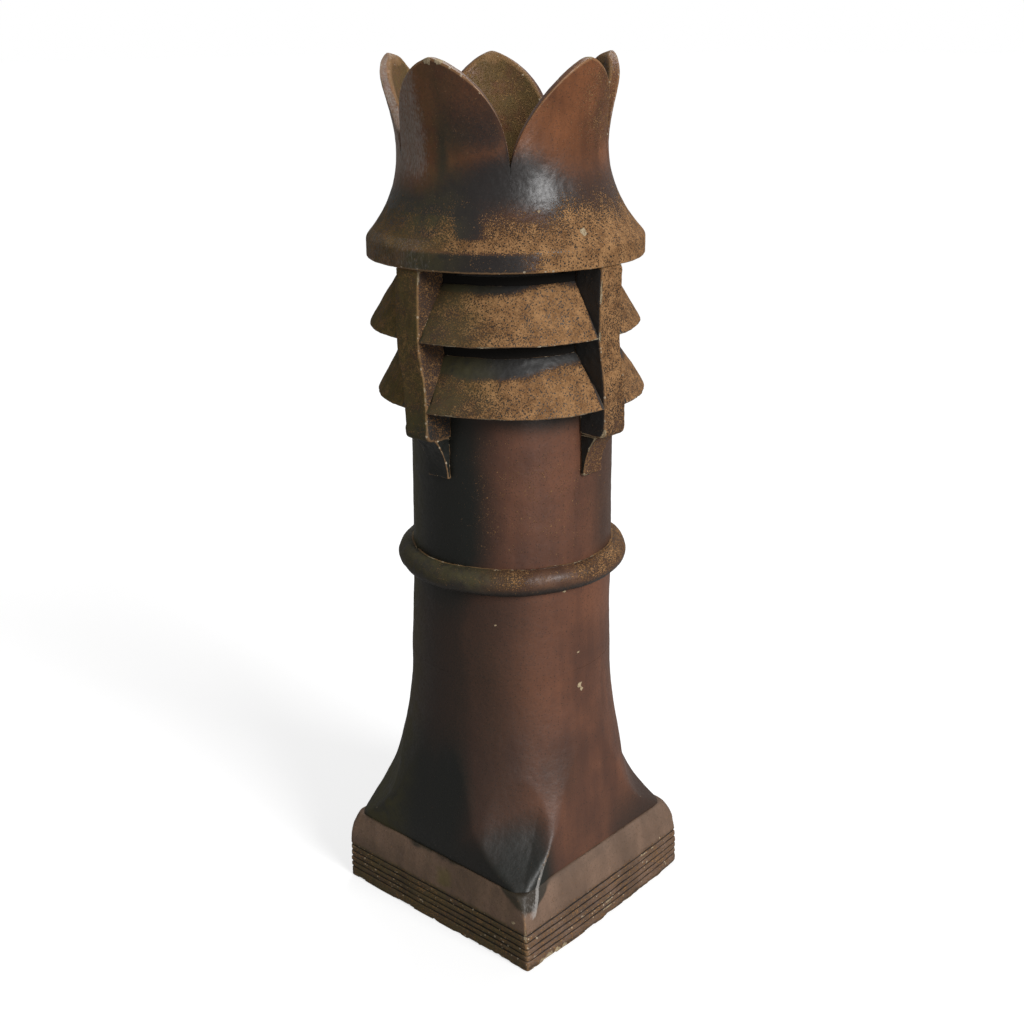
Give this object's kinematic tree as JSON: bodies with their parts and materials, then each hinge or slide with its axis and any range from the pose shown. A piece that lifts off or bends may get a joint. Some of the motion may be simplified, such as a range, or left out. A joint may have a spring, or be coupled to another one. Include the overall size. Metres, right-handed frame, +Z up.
{
  "type": "chimney pot",
  "caption": "Salt-glazed stoneware chimney pot: a square grooved plinth flares into a round barrel with a bead ring, two tiers of louvres between piers and a petalled crown.",
  "frame": {"origin": "centre of the plinth's underside", "axes": "+Z up the flue; the plinth's sides run along X and Y, with a pier over the middle of each side and a louvred bay over each corner; -Y is called the front"},
  "size_m": [0.318, 0.318, 1.04],
  "materials": {
    "dark_salt_glaze": "glossy chocolate-brown salt glaze, near black where it pooled",
    "ochre_crust": "rough ochre salt crust with dark specks and lichen",
    "crown_glaze": "mottled red-brown and gunmetal salt glaze, ochre at the rim",
    "plinth_glaze": "worn brown salt glaze, chipped to pale stoneware along the edges"
  },
  "bodies": {
    "root": {"plinth": "plinth_glaze", "flared_base": "dark_salt_glaze", "lower_barrel": "dark_salt_glaze", "upper_barrel": "dark_salt_glaze", "bead_ring": "ochre_crust", "pier_front": "ochre_crust", "corbel_front": "dark_salt_glaze", "pier_right": "ochre_crust", "corbel_right": "dark_salt_glaze", "pier_back": "ochre_crust", "corbel_back": "dark_salt_glaze", "pier_left": "ochre_crust", "corbel_left": "dark_salt_glaze", "louvre_upper_front_right": "ochre_crust", "louvre_upper_back_right": "ochre_crust", "louvre_upper_back_left": "ochre_crust", "louvre_upper_front_left": "ochre_crust", "louvre_lower_front_right": "ochre_crust", "louvre_lower_back_right": "ochre_crust", "louvre_lower_back_left": "ochre_crust", "louvre_lower_front_left": "ochre_crust", "crown": "crown_glaze"}
  },
  "joints": []
}
